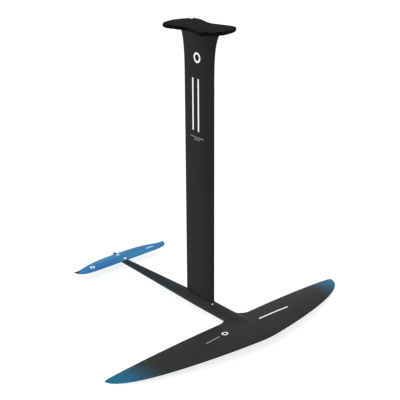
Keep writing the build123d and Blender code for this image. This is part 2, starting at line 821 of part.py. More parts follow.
PIECES = {
    "foil_upper_shell": foil_upper_shell,
    "foil_lower_shell": foil_lower_shell,
    "wing_core_port": wing_core_port,
    "wing_core_starboard": wing_core_starboard,
    "wing_spar": wing_spar,
    "nose_block_front": nose_block_front,
    "nose_block_rear": nose_block_rear,
    "mast_socket": mast_socket,
    "boom_core": boom_core,
    "tail_block": tail_block,
    "tail_inserts": tail_inserts,
    "mast_skin_port": mast_skin_port,
    "mast_skin_starboard": mast_skin_starboard,
    "mast_core_front": mast_core_front,
    "mast_core_rear": mast_core_rear,
    "mast_web": mast_web,
    "mast_head_block": mast_head_block,
    "mast_foot_block": mast_foot_block,
    "mast_foot_inserts": mast_foot_inserts,
    "top_plate": top_plate,
    "stabiliser_upper_skin": stabiliser_upper_skin,
    "stabiliser_lower_skin": stabiliser_lower_skin,
    "stabiliser_core": stabiliser_core,
    "stabiliser_ferrules": stabiliser_ferrules,
    "mast_screw_front": mast_screw_front,
    "mast_screw_rear": mast_screw_rear,
    "stabiliser_screw_front": stabiliser_screw_front,
    "stabiliser_screw_rear": stabiliser_screw_rear,
    "lock_screw": lock_screw,
}

os.makedirs("parts", exist_ok=True)
for name, piece in PIECES.items():
    piece.part.label = name
    export_step(piece.part, f"parts/{name}.step")
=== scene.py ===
import json
from math import atan2, cos, exp, pi, radians, sin, sqrt

import bmesh
import bpy
from mathutils import Matrix, Vector


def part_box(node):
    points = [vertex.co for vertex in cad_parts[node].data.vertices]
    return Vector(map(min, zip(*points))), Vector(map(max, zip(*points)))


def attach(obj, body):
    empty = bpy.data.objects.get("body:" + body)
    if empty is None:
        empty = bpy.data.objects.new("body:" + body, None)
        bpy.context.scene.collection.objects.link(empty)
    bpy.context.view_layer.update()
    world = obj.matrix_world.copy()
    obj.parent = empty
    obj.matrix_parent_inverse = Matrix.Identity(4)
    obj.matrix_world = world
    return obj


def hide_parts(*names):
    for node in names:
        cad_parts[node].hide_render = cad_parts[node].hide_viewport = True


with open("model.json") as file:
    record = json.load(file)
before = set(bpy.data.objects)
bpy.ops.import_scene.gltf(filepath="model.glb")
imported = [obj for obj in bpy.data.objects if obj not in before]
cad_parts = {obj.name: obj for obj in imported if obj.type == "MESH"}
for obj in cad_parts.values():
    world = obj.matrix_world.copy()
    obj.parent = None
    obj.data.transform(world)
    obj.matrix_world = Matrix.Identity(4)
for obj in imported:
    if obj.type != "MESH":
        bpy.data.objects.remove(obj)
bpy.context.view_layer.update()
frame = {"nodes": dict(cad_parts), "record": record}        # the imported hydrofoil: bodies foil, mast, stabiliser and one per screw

# A hydrofoil for a board: a mast under a slotted plate, a front wing moulded to its fuselage, and a
# blue stabiliser on the tail. Metres. +X is forward, +Y is port, +Z is up, and the origin is the
# middle of the plate's top face.

MM = 0.001
WELD = 1e-6

# Places that the frame gives
plate_low, plate_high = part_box("top_plate")
shell_low, shell_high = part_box("foil_upper_shell")
socket_low, socket_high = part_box("mast_socket")
stabiliser_low, stabiliser_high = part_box("stabiliser_upper_skin")

# Fuselage
AXIS_Z = (socket_low.z + socket_high.z) / 2
BARREL_RADIUS = 17.8 * MM
TAIL_RADIUS = 6.7 * MM
TAIL_DROP = 5.8 * MM
TAIL_END = shell_low.x
TAPER_START = -4 * MM
RIDGE_FADE = 1.5  # how late the barrel sinks into the wing towards the leading edge
TAIL_ROUND_LENGTH = 2 * MM  # the stretch over which the boom's end is rounded off
TAIL_ROUND_TURN = 0.4 * pi
TAIL_ROUND_DEPTH = 0.28  # as a share of the end's radius
TAIL_LIP_RADIUS = 5 * MM  # of the small round lip that stands on the tail's end
TAIL_LIP_RISE = 6 * MM
TAIL_LIP_LENGTH = 5 * MM
TAIL_LIP_EASE = 1.5 * MM

# Front wing
HALF_SPAN = shell_high.y
WING_NOSE = shell_high.x
WING_CHORD = 131.6 * MM
WING_Z = AXIS_Z + 4.7 * MM
WING_DROOP = 31.1 * MM
WING_RATIO = 0.12
WING_CAMBER = 0.02
WING_EDGE = 0.9 * MM
SWEEP_PIVOT = 0.79
SWEEP_CURVE = 40.5 * MM
SWEEP_TIP = 8.5 * MM
CORNER_RADIUS = 36 * MM  # of the rounded corner between the trailing edge and the barrel
WEB_SWELL = 1.5 * MM  # how much thicker that corner's web gets on each side
BLEND_LARGE = 20 * MM  # how far the barrel's sides run out into the wing
BLEND_SMALL = 3 * MM

# Stabiliser
STABILISER_NOSE = stabiliser_high.x
STABILISER_HALF_SPAN = stabiliser_high.y
STABILISER_Z = stabiliser_low.z
STABILISER_CHORD = 58.2 * MM
STABILISER_FULLNESS = 2.6
STABILISER_RATIO = 0.11
STABILISER_EDGE = 0.7 * MM
STABILISER_TIP_SHARE = 0.59

# Mast
MAST_CHORD = 112.5 * MM
MAST_THICKNESS = 14.6 * MM
MAST_EDGE = 1.0 * MM
FOOT_SET_BACK = 0.05 * MM  # keeps the skins' lower edge clear of the foot block's face
FOOT_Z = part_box("mast_skin_port")[0].z + FOOT_SET_BACK
HEAD_Z = plate_low.z
FLARE_DEPTH = 110 * MM
FLARE_LENGTH = 29 * MM
FLARE_NOSE = 19 * MM
FLARE_TAIL = 17 * MM
FLARE_THICKNESS = 19 * MM
HEAD_FILLET = 6 * MM  # the small fillet where the flare meets the plate

# Plate
PLATE_HALF_LENGTH = plate_high.x
PLATE_LOBE = plate_high.y
PLATE_WAIST = 39.6 * MM
PLATE_RIM = 2.6 * MM
PLATE_EASE = 0.8 * MM
SLOT_X = 71.5 * MM  # the centre of a slot's round inner end
SLOT_Y = 45 * MM
SLOT_RADIUS = 4.25 * MM
SPOT_RADIUS = 8.5 * MM
SPOT_DEPTH = 1.2 * MM

# Fits
FIT_GAP = 0.35 * MM
SKIN_GAP = 0.1 * MM  # keeps a cut face clear of the metal behind it
LOCK_SCREW = (57.6 * MM, -6.1 * MM)
LOCK_HEAD_HEIGHT = 2.2 * MM
LOCK_SEAT_DEPTH = 2.35 * MM
LOCK_HOLE = 2.3 * MM
MAST_SCREWS = {"front": 36 * MM, "rear": 4 * MM}
MAST_SCREW_HOLE = 3.4 * MM
MAST_SCREW_SEAT = 6.3 * MM  # the radius of a 45 degree countersink's mouth
TAIL_SCREWS = {"front": -348.8 * MM, "rear": -385.4 * MM}
KEY_SHARE = 0.62  # half a hex key's width, as a share of its screw's shank radius


# ---- Working on a mesh ----


def deselect():
    bpy.ops.object.select_all(action="DESELECT")


def named(name):
    """Name the primitive that was just added."""
    piece = bpy.context.object
    piece.name = name
    piece.data.name = name
    return piece


def edit(piece):
    """Open a piece in edit mode, with nothing else selected."""
    deselect()
    piece.select_set(True)
    bpy.context.view_layer.objects.active = piece
    bpy.ops.object.mode_set(mode="EDIT")


def done():
    bpy.ops.object.mode_set(mode="OBJECT")


def pick(piece, kind, rule):
    """In edit mode, select the verts, edges or faces whose corners all fit a rule."""
    mesh = bmesh.from_edit_mesh(piece.data)
    for group in (mesh.verts, mesh.edges, mesh.faces):
        for element in group:
            element.select = False
    for element in getattr(mesh, kind):
        corners = [element] if kind == "verts" else element.verts
        if all(rule(corner.co) for corner in corners):
            element.select_set(True)
    bmesh.update_edit_mesh(piece.data)


def shape(piece, place):
    """Move every vertex of a piece to where a function puts it."""
    for vertex in piece.data.vertices:
        vertex.co = place(vertex.co)


def settle(piece):
    """Weld a piece's doubles and turn its faces outwards."""
    edit(piece)
    bpy.ops.mesh.select_all(action="SELECT")
    bpy.ops.mesh.remove_doubles(threshold=WELD)
    bpy.ops.mesh.normals_make_consistent(inside=False)
    done()


def smooth(piece, degrees):
    """Shade a piece smooth, with its edges sharper than an angle left crisp."""
    deselect()
    piece.select_set(True)
    bpy.context.view_layer.objects.active = piece
    bpy.ops.object.shade_smooth_by_angle(angle=radians(degrees))


def apply_place(piece):
    """Put a piece's object at the origin and its place into its mesh."""
    deselect()
    piece.select_set(True)
    bpy.context.view_layer.objects.active = piece
    bpy.ops.object.transform_apply(location=True, rotation=True, scale=True)


def apply_modifier(piece, kind, **settings):
    """Add a modifier to a piece and apply it."""
    modifier = piece.modifiers.new(kind.lower(), kind)
    for setting, value in settings.items():
        setattr(modifier, setting, value)
    deselect()
    piece.select_set(True)
    bpy.context.view_layer.objects.active = piece
    bpy.ops.object.modifier_apply(modifier=modifier.name)


def join(piece, other, operation):
    """Combine a piece with another solid, which is used up."""
    apply_modifier(piece, "BOOLEAN", operation=operation, object=other, solver="EXACT")
    bpy.data.objects.remove(other)


def cut(piece, *cutters):
    """Cut other solids out of a piece."""
    for cutter in cutters:
        join(piece, cutter, "DIFFERENCE")


def dress(piece, material):
    """Give a piece or a CAD node one material."""
    piece.data.materials.clear()
    piece.data.materials.append(material)


def extrude_edges(move):
    bpy.ops.mesh.extrude_region_move(TRANSFORM_OT_translate={"value": move})


# ---- Foil sections ----


def half_thickness(share, thickness):
    """Half the thickness of a four-digit foil section, at a share of its chord."""
    root = 1.4845 * sqrt(share) - 0.63 * share
    return thickness * (root - 1.758 * share**2 + 1.4215 * share**3 - 0.5075 * share**4)


def wing_chord(y):
    return WING_CHORD * max(0.0, 1 - min(1.0, abs(y) / HALF_SPAN) ** 1.5) ** 0.49


def wing_nose(y):
    share = abs(y) / HALF_SPAN
    pivot = WING_NOSE - SWEEP_PIVOT * WING_CHORD - SWEEP_CURVE * share**1.5 - SWEEP_TIP * share**6
    return pivot + SWEEP_PIVOT * wing_chord(y)


def wing_tail(y):
    return wing_nose(y) - wing_chord(y)


def wing_lift(y):
    return WING_Z - WING_DROOP * (y / HALF_SPAN) ** 2


BOOM_START = wing_tail(BARREL_RADIUS) - CORNER_RADIUS


def aft_edge(y):
    """Where the wing ends: its trailing edge, the rounded corner, or the start of the boom."""
    rest = BARREL_RADIUS + CORNER_RADIUS - abs(y)
    if rest <= 0:
        return wing_tail(y)
    if rest >= CORNER_RADIUS:
        return BOOM_START
    return wing_tail(y) - CORNER_RADIUS + sqrt(CORNER_RADIUS**2 - rest**2)


def ease(share):
    """Run smoothly from 0 to 1."""
    share = min(1.0, max(0.0, share))
    return share * share * (3 - 2 * share)


def web_share(x, y):
    """How far forward a place in the rounded corner is: 0 at the boom, 1 at the trailing edge."""
    return min(1.0, max(0.0, (x - BOOM_START) / (wing_tail(y) - BOOM_START)))


def parting_height(x, y):
    """The height of the line that the two halves of the mould meet at."""
    if x >= wing_tail(y):
        return wing_lift(y)
    return AXIS_Z + (wing_lift(y) - AXIS_Z) * ease(web_share(x, y))


def plain_wing_height(x, y, side):
    """The wing's surface without the barrel."""
    chord = wing_chord(y)
    if x < wing_tail(y):
        share = web_share(x, y)
        half = WING_EDGE / 2 * share + WEB_SWELL * 4 * share * (1 - share)
        return parting_height(x, y) + side * half
    share = (wing_nose(y) - x) / chord if chord > WELD else 0.0
    share = min(1.0, max(0.0, share))
    middle = wing_lift(y) + 4 * WING_CAMBER * chord * share * (1 - share)
    edge = WING_EDGE * sqrt(chord / WING_CHORD) * share
    return middle + side * (half_thickness(share, WING_RATIO * chord) + edge / 2)


def barrel_middle_and_height(x):
    """The barrel's axis and half height, where it sinks into the wing."""
    forward = min(1.0, max(0.0, (x - wing_tail(0)) / WING_CHORD))
    fade = forward**RIDGE_FADE
    return AXIS_Z + (WING_Z - AXIS_Z) * fade, BARREL_RADIUS * max(0.02, 1 - fade)


def foil_height(x, y, side):
    """The height of the foil body's upper (side 1) or lower (side -1) surface."""
    wing = plain_wing_height(x, y, side)
    middle, height = barrel_middle_and_height(x)
    proud = side * (middle + side * height - plain_wing_height(x, 0, side))
    blend = min(BLEND_LARGE, max(BLEND_SMALL, proud)) * ease(web_share(x, 0) * 1.6)

    def outside(z):
        """Below zero inside the body, with the barrel and the wing blended together."""
        barrel = (sqrt((y / BARREL_RADIUS) ** 2 + ((z - middle) / height) ** 2) - 1) * height
        plane = side * (z - wing)
        near = max(0.0, blend - abs(barrel - plane))
        return min(barrel, plane) - (near * near / (4 * blend) if blend > 0 else 0.0)

    inner = wing
    outer = wing + side * 3 * BARREL_RADIUS
    for _ in range(32):
        probe = (inner + outer) / 2
        if outside(probe) < 0:
            inner = probe
        else:
            outer = probe
    return inner


# ---- The foil body: front wing and fuselage ----

BARREL_STEPS = 10  # columns over a quarter of the barrel
CORNER_STEPS = 8
SPAN_STEPS = 30
FOIL_ROWS = 36
TIP_BUNCH = 2.2  # how closely the columns crowd at a tip


def span_columns():
    """The columns of half a wing, from the middle to the tip."""
    columns = [BARREL_RADIUS * sin(pi / 2 * i / BARREL_STEPS) for i in range(BARREL_STEPS + 1)]
    for i in range(1, CORNER_STEPS + 1):
        columns.append(BARREL_RADIUS + CORNER_RADIUS * (1 - cos(pi / 2 * i / CORNER_STEPS)))
    start = columns[-1]
    for i in range(1, SPAN_STEPS + 1):
        share = 1 - (1 - i / SPAN_STEPS) ** TIP_BUNCH
        columns.append(start + (HALF_SPAN - start) * share)
    return [-y for y in reversed(columns[1:])] + columns


def boom_ring(x):
    """The boom's axis height and radius at a place along it."""
    taper = max(0.0, (TAPER_START - x) / (TAPER_START - TAIL_END))
    return AXIS_Z - TAIL_DROP * taper, BARREL_RADIUS - (BARREL_RADIUS - TAIL_RADIUS) * taper


def boom_stations():
    """Places along the boom with the share of its radius there: the very end is rounded."""
    places = [BOOM_START + (TAPER_START - BOOM_START) * i / 4 for i in range(1, 5)]
    taper_length = TAPER_START - TAIL_END - TAIL_ROUND_LENGTH
    places += [TAPER_START - taper_length * i / 12 for i in range(1, 13)]
    stations = [(x, 1.0) for x in places]
    for part in (0.35, 0.7, 1.0):
        angle = TAIL_ROUND_TURN * part
        left = 1 - sin(angle) / sin(TAIL_ROUND_TURN)
        share = 1 - TAIL_ROUND_DEPTH * (1 - cos(angle))
        stations.append((TAIL_END + TAIL_ROUND_LENGTH * left, share))
    return stations


def foil_half(name, side):
    """One half of the foil body, closed along the parting line."""
    columns = span_columns()
    last = len(columns) - 1
    deselect()
    bpy.ops.mesh.primitive_grid_add(x_subdivisions=FOIL_ROWS, y_subdivisions=last, size=1)
    piece = named(name)

    def on_surface(co):
        y = columns[round((co.y + 0.5) * last)]
        run = 1 - cos(pi / 2 * (0.5 - co.x))
        x = wing_nose(y) + (aft_edge(y) - wing_nose(y)) * run
        return Vector((x, y, foil_height(x, y, side)))

    shape(piece, on_surface)

    # the boom grows out of the middle of the aft edge, ring by ring
    edit(piece)
    bpy.ops.mesh.select_mode(type="EDGE")
    reach = BARREL_RADIUS + WELD
    pick(piece, "edges", lambda co: abs(co.x - BOOM_START) < WELD and abs(co.y) < reach)
    x, middle, radius = BOOM_START, AXIS_Z, BARREL_RADIUS
    for next_x, share in boom_stations():
        next_middle, next_radius = boom_ring(next_x)
        next_radius *= share
        extrude_edges((next_x - x, 0, next_middle - middle))
        scale = next_radius / radius
        bpy.ops.transform.resize(value=(1, scale, scale), center_override=(next_x, 0, next_middle))
        x, middle, radius = next_x, next_middle, next_radius

    # the whole skin is extruded, and the copy is laid on the parting line
    bpy.ops.mesh.select_mode(type="FACE")
    bpy.ops.mesh.select_all(action="SELECT")
    extrude_edges((0, 0, 0))
    mesh = bmesh.from_edit_mesh(piece.data)
    for vertex in mesh.verts:
        if vertex.select:
            behind = vertex.co.x < BOOM_START - WELD
            here = vertex.co
            here.z = boom_ring(here.x)[0] if behind else parting_height(here.x, here.y)
    bmesh.update_edit_mesh(piece.data)
    done()
    settle(piece)
    return piece


def foot_cutter(name, gap, bottom, top):
    """A prism of the mast's section, a gap larger all round."""
    deselect()
    bpy.ops.mesh.primitive_cylinder_add(vertices=96, radius=1, depth=2)
    piece = named(name)

    def on_section(co):
        x, y = mast_point(atan2(co.y, co.x), gap)
        return Vector((x, y, top if co.z > 0 else bottom))

    shape(piece, on_section)
    settle(piece)
    return piece


def box_cutter(name, low, high):
    deselect()
    bpy.ops.mesh.primitive_cube_add(size=1)
    piece = named(name)
    middle = (Vector(low) + Vector(high)) / 2
    size = Vector(high) - Vector(low)
    shape(piece, lambda co: middle + Vector((co.x * size.x, co.y * size.y, co.z * size.z)))
    settle(piece)
    return piece


def round_cutter(name, x, y, radius, bottom, top):
    deselect()
    bpy.ops.mesh.primitive_cylinder_add(
        vertices=64, radius=radius, depth=top - bottom, location=(x, y, (top + bottom) / 2)
    )
    piece = named(name)
    apply_place(piece)
    return piece


def stepped_cutter(name, x, y, stations):
    """A round cutter in one piece, from its (radius, height) stations, lowest first."""
    radius, z = stations[0]
    deselect()
    bpy.ops.mesh.primitive_circle_add(
        vertices=64, radius=radius, fill_type="NGON", location=(x, y, z)
    )
    piece = named(name)
    apply_place(piece)
    edit(piece)
    bpy.ops.mesh.select_mode(type="FACE")
    bpy.ops.mesh.select_all(action="SELECT")
    for next_radius, next_z in stations[1:]:
        extrude_edges((0, 0, next_z - z))
        scale = next_radius / radius
        bpy.ops.transform.resize(value=(scale, scale, 1), center_override=(x, y, next_z))
        radius, z = next_radius, next_z
    done()
    settle(piece)
    return piece


def tail_lip():
    """The short round lip that stands on the tail's end, with its edges eased."""
    deselect()
    bpy.ops.mesh.primitive_cylinder_add(
        vertices=48,
        radius=TAIL_LIP_RADIUS,
        depth=TAIL_LIP_LENGTH,
        location=(TAIL_END + TAIL_LIP_LENGTH / 2, 0, AXIS_Z - TAIL_DROP + TAIL_LIP_RISE),
        rotation=(0, pi / 2, 0),
    )
    piece = named("tail_lip")
    apply_place(piece)
    edit(piece)
    bpy.ops.mesh.select_mode(type="EDGE")
    for end in (TAIL_END, TAIL_END + TAIL_LIP_LENGTH):
        pick(piece, "edges", lambda co: abs(co.x - end) < WELD)
        bpy.ops.mesh.bevel(offset=TAIL_LIP_EASE, segments=4, profile=0.5, affect="EDGES")
    done()
    return piece


# ---- Mast ----


def mast_point(angle, gap=0.0):
    """A point of the mast's section, a gap outside it. Angle 0 is the nose."""
    share = (1 - cos(angle)) / 2
    half = half_thickness(share, MAST_THICKNESS) + MAST_EDGE * share / 2
    sign = 0.0 if abs(sin(angle)) < WELD else (1 if angle > 0 else -1)
    x = MAST_CHORD / 2 - share * MAST_CHORD
    return x + gap * cos(angle), sign * (half + gap * abs(sin(angle)) ** 0.5)


def flare(depth):
    """How much of the flare is left at a depth below the plate."""
    end = exp(-FLARE_DEPTH / FLARE_LENGTH)
    return max(0.0, (exp(-depth / FLARE_LENGTH) - end) / (1 - end))


def fillet_reach(depth):
    """How far the small fillet stands out at a depth below the plate."""
    if depth >= HEAD_FILLET:
        return 0.0
    return HEAD_FILLET - sqrt(HEAD_FILLET**2 - (HEAD_FILLET - depth) ** 2)


def mast_blade():
    """The whole blade, extruded up from its foot and widened station by station at its head."""
    deselect()
    bpy.ops.mesh.primitive_circle_add(vertices=112, radius=1, fill_type="NGON")
    piece = named("mast_blade")

    def on_section(co):
        x, y = mast_point(atan2(co.y, co.x))
        return Vector((x, y, FOOT_Z))

    shape(piece, on_section)
    edit(piece)
    bpy.ops.mesh.select_mode(type="FACE")
    bpy.ops.mesh.select_all(action="SELECT")
    shares = (1.0, 0.85, 0.7, 0.57, 0.46, 0.37, 0.29, 0.22, 0.16, 0.11, 0.08)
    depths = [FLARE_DEPTH * share for share in shares]
    depths += [HEAD_FILLET * share for share in (1.0, 0.6, 0.34, 0.15, 0.04, 0.0)]
    z, nose, tail, half = FOOT_Z, MAST_CHORD / 2, -MAST_CHORD / 2, MAST_THICKNESS / 2
    for depth in depths:
        growth = flare(depth)
        fillet = fillet_reach(depth)
        next_nose = MAST_CHORD / 2 + growth * FLARE_NOSE + fillet
        next_tail = -MAST_CHORD / 2 - growth * FLARE_TAIL - fillet
        next_half = (MAST_THICKNESS + growth * FLARE_THICKNESS) / 2 + fillet
        next_z = HEAD_Z - depth
        extrude_edges(((next_nose + next_tail - nose - tail) / 2, 0, next_z - z))
        bpy.ops.transform.resize(
            value=((next_nose - next_tail) / (nose - tail), next_half / half, 1),
            center_override=((next_nose + next_tail) / 2, 0, next_z),
        )
        z, nose, tail, half = next_z, next_nose, next_tail, next_half
    done()
    settle(piece)
    return piece


def mast_skin(blade, name, side):
    """Half of the blade, from a copy of it cut along its middle plane."""
    deselect()
    blade.select_set(True)
    bpy.context.view_layer.objects.active = blade
    bpy.ops.object.duplicate()
    piece = named(name)
    edit(piece)
    bpy.ops.mesh.select_all(action="SELECT")
    bpy.ops.mesh.bisect(
        plane_co=(0, 0, 0),
        plane_no=(0, side, 0),
        use_fill=True,
        clear_inner=True,
        clear_outer=False,
    )
    done()
    settle(piece)
    return piece


# ---- Plate ----


def top_plate():
    """The lobed plate: a smooth outline, extruded down, with a soft lower rim and open slots."""
    quarter = [
        (1.0, 0.0),
        (0.925, 0.62),
        (0.845, 0.885),
        (0.665, 1.0),
        (0.335, (1 + PLATE_WAIST / PLATE_LOBE) / 2),
    ]
    waist = [(0.0, PLATE_WAIST / PLATE_LOBE)]
    half = quarter + waist + [(-x, y) for x, y in reversed(quarter)]
    outline = half + [(x, -y) for x, y in reversed(half[1:-1])]
    deselect()
    bpy.ops.curve.primitive_bezier_circle_add()
    piece = bpy.context.object
    spline = piece.data.splines[0]
    spline.bezier_points.add(len(outline) - len(spline.bezier_points))
    for point, (x, y) in zip(spline.bezier_points, outline):
        point.co = (x * PLATE_HALF_LENGTH, y * PLATE_LOBE, 0)
        point.handle_left_type = point.handle_right_type = "AUTO"
    piece.data.dimensions = "2D"
    piece.data.fill_mode = "BOTH"
    piece.data.resolution_u = 14
    bpy.ops.object.convert(target="MESH")
    piece = named("plate")
    edit(piece)
    bpy.ops.mesh.select_all(action="SELECT")
    bpy.ops.mesh.remove_doubles(threshold=WELD)
    bpy.ops.mesh.dissolve_limited(angle_limit=radians(1))
    bpy.ops.mesh.select_all(action="SELECT")
    extrude_edges((0, 0, HEAD_Z))
    bpy.ops.mesh.select_all(action="SELECT")
    bpy.ops.mesh.normals_make_consistent(inside=False)
    bpy.ops.mesh.select_mode(type="EDGE")
    pick(piece, "edges", lambda co: co.z < HEAD_Z + WELD)
    bpy.ops.mesh.bevel(offset=PLATE_RIM, segments=4, profile=0.5, affect="EDGES")
    pick(piece, "edges", lambda co: co.z > -WELD)
    bpy.ops.mesh.bevel(offset=PLATE_EASE, segments=2, profile=0.5, affect="EDGES")
    done()
    settle(piece)
    past = PLATE_HALF_LENGTH + 20 * MM
    for x_side in (-1, 1):
        for y_side in (-1, 1):
            for radius, bottom, top in (
                (SLOT_RADIUS, 2 * HEAD_Z, -HEAD_Z),
                (SPOT_RADIUS, 2 * HEAD_Z, HEAD_Z + SPOT_DEPTH),
            ):
                slot = round_cutter("slot", x_side * SLOT_X, y_side * SLOT_Y, radius, bottom, top)
                edit(slot)
                bpy.ops.mesh.select_mode(type="VERT")
                pick(slot, "verts", lambda co: (co.x * x_side - SLOT_X) > WELD)
                bpy.ops.transform.translate(value=(x_side * (past - SLOT_X), 0, 0))
                done()
                cut(piece, slot)
    return piece


# ---- Stabiliser ----


def stabiliser_half(name, side):
    """The upper or lower half of the stabiliser."""
    steps = 26
    rows = 26
    deselect()
    bpy.ops.mesh.primitive_grid_add(x_subdivisions=rows, y_subdivisions=2 * steps, size=1)
    piece = named(name)

    def on_surface(co):
        index = round((co.y + 0.5) * 2 * steps) - steps
        out = 1 - (1 - abs(index) / steps) ** TIP_BUNCH
        chord = STABILISER_CHORD * sqrt(max(0.0, 1 - out**STABILISER_FULLNESS))
        nose = STABILISER_NOSE - STABILISER_TIP_SHARE * (STABILISER_CHORD - chord) * out**8
        run = 1 - cos(pi / 2 * (0.5 - co.x))
        edge = STABILISER_EDGE * sqrt(chord / STABILISER_CHORD) * run
        half = half_thickness(run, STABILISER_RATIO * chord) + edge / 2
        y = out * STABILISER_HALF_SPAN * (1 if index > 0 else -1)
        return Vector((nose - run * chord, y, STABILISER_Z + side * half))

    shape(piece, on_surface)
    edit(piece)
    bpy.ops.mesh.select_all(action="SELECT")
    extrude_edges((0, 0, 0))
    mesh = bmesh.from_edit_mesh(piece.data)
    for vertex in mesh.verts:
        if vertex.select:
            vertex.co.z = STABILISER_Z
    bmesh.update_edit_mesh(piece.data)
    done()
    settle(piece)
    return piece


# ---- Screws ----


def socket_screw(node, shank_radius, direction, head_height=0.0):
    """A hex-socket screw in place of a CAD one. direction is the way its tip points: 1 is up.
    A head height of 0 makes it countersunk, at 45 degrees."""
    key_size = KEY_SHARE * shank_radius
    low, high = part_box(node)
    x, y = (low.x + high.x) / 2, (low.y + high.y) / 2
    head = (high.x - low.x) / 2
    face_z, tip_z = (low.z, high.z) if direction > 0 else (high.z, low.z)
    rim = 0.12 * head
    deselect()
    bpy.ops.mesh.primitive_circle_add(
        vertices=48, radius=head - rim, fill_type="NGON", location=(x, y, face_z)
    )
    piece = named("visual_" + node)
    apply_place(piece)

    edit(piece)
    bpy.ops.mesh.select_mode(type="FACE")
    bpy.ops.mesh.select_all(action="SELECT")
    bpy.ops.mesh.inset(thickness=head - rim - 1.25 * key_size)
    mesh = bmesh.from_edit_mesh(piece.data)
    for vertex in mesh.verts:
        if vertex.select:
            out = vertex.co - Vector((x, y, face_z))
            turn = atan2(out.y, out.x) % (pi / 3)
            vertex.co = Vector((x, y, face_z)) + out.normalized() * key_size / cos(turn - pi / 6)
    bmesh.update_edit_mesh(piece.data)
    bpy.ops.mesh.inset(thickness=0.06 * key_size)
    extrude_edges((0, 0, direction * 0.08 * key_size))
    extrude_edges((0, 0, direction * 0.9 * shank_radius))
    extrude_edges((0, 0, direction * 0.3 * key_size))
    bpy.ops.transform.resize(value=(0.1, 0.1, 1), center_override=(x, y, face_z))

    bpy.ops.mesh.select_mode(type="EDGE")
    inner = head - 1.5 * rim
    pick(piece, "edges", lambda co: (co.xy - Vector((x, y))).length > inner)
    steps = [(head, rim)]
    if head_height:
        steps += [(head, head_height - 1.5 * rim), (head - rim / 2, rim / 2), (shank_radius, 0)]
    else:
        steps += [(shank_radius, head - shank_radius - rim)]
    used = sum(drop for _, drop in steps)
    chamfer = 0.25 * shank_radius
    steps += [(shank_radius, abs(tip_z - face_z) - used - chamfer), (0.75 * shank_radius, chamfer)]
    radius = head - rim
    z = face_z
    for next_radius, drop in steps:
        z += direction * drop
        scale = next_radius / radius
        extrude_edges((0, 0, direction * drop))
        bpy.ops.transform.resize(value=(scale, scale, 1), center_override=(x, y, z))
        radius = next_radius
    bpy.ops.mesh.edge_face_add()
    done()
    settle(piece)
    smooth(piece, 35)
    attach(piece, node)
    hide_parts(node)
    return piece


# ---- Materials ----

# Nodes that aren't textures, so their type's name has no "Tex" in it
SHORT_KINDS = ("Math", "MapRange", "TexCoord", "SeparateXYZ", "Mapping", "Mix", "Bump")


class Reading:
    """A number that varies over a surface, written with ordinary arithmetic."""

    def __init__(self, finish, socket):
        self.finish = finish
        self.socket = socket

    def work(self, operation, *values):
        return self.finish.make("Math", {"operation": operation}, values)

    def __add__(self, other):
        return self.work("ADD", self, other)

    def __sub__(self, other):
        return self.work("SUBTRACT", self, other)

    def __rsub__(self, other):
        return self.work("SUBTRACT", other, self)

    def __mul__(self, other):
        return self.work("MULTIPLY", self, other)

    def __truediv__(self, other):
        return self.work("DIVIDE", self, other)

    def __lt__(self, other):
        return self.work("LESS_THAN", self, other)

    def __gt__(self, other):
        return self.work("GREATER_THAN", self, other)

    def __abs__(self):
        return self.work("ABSOLUTE", self)

    __radd__ = __add__
    __rmul__ = __mul__

    def fraction(self):
        return self.work("FRACT", self)

    def wave(self):
        return self.work("SINE", self * (2 * pi))

    def largest(self, other):
        return self.work("MAXIMUM", self, other)

    def rise(self, start, end):
        """Run smoothly from 0 at start to 1 at end."""
        settings = {"interpolation_type": "SMOOTHSTEP"}
        return self.finish.make("MapRange", settings, {"Value": self, 1: start, 2: end})


class Finish:
    """One material's nodes around a single shader."""

    def __init__(self, name, roughness=0.5, metallic=0.0, specular=0.5):
        self.material = bpy.data.materials.new(name)
        self.material.use_nodes = True
        self.tree = self.material.node_tree
        self.shader = self.tree.nodes["Principled BSDF"]
        self.shader.inputs["Roughness"].default_value = roughness
        self.shader.inputs["Metallic"].default_value = metallic
        self.shader.inputs["Specular IOR Level"].default_value = specular
        place = self.make("TexCoord", {}, {}, "Object")
        self.place = place
        split = self.make("SeparateXYZ", {}, [place]).socket.node
        self.x, self.y, self.z = (Reading(self, socket) for socket in split.outputs)

    def make(self, kind, settings, values, output=0):
        """Add a node: its settings first, then the values or links of its sockets."""
        prefix = "ShaderNode" if kind in SHORT_KINDS else "ShaderNodeTex"
        node = self.tree.nodes.new(prefix + kind)
        for setting, value in settings.items():
            setattr(node, setting, value)
        pairs = values.items() if isinstance(values, dict) else enumerate(values)
        for key, value in pairs:
            if isinstance(value, Reading):
                self.tree.links.new(value.socket, node.inputs[key])
            elif value is not None:
                node.inputs[key].default_value = value
        return Reading(self, node.outputs[output])

    def noise(self, scale, detail=3.0, stretch=(1, 1, 1)):
        """Grain of a given scale, drawn out along the axes."""
        place = self.make("Mapping", {}, {"Vector": self.place, "Scale": stretch})
        return self.make("Noise", {}, {"Vector": place, "Scale": scale, "Detail": detail})

    def mix(self, share, first, second):
        """Run from one colour to another as share goes from 0 to 1."""
        settings = {"data_type": "RGBA"}
        return self.make("Mix", settings, {0: share, 6: first, 7: second}, 2)

    def shade(self, color, amount, grain):
        """Lighten and darken a colour by a share of itself, as the grain says."""
        return self.mix(grain, tuned(color, 1 - amount), tuned(color, 1 + amount))

    def finish(self, color, roughness=None, relief=None, depth=0.0):
        """Link the colour, roughness and relief to the shader."""
        for name, value in (("Base Color", color), ("Roughness", roughness)):
            if value is not None:
                self.tree.links.new(value.socket, self.shader.inputs[name])
        if relief is not None:
            bump = self.make("Bump", {}, {"Strength": 1.0, "Distance": depth, "Height": relief})
            self.tree.links.new(bump.socket, self.shader.inputs["Normal"])
        return self.material


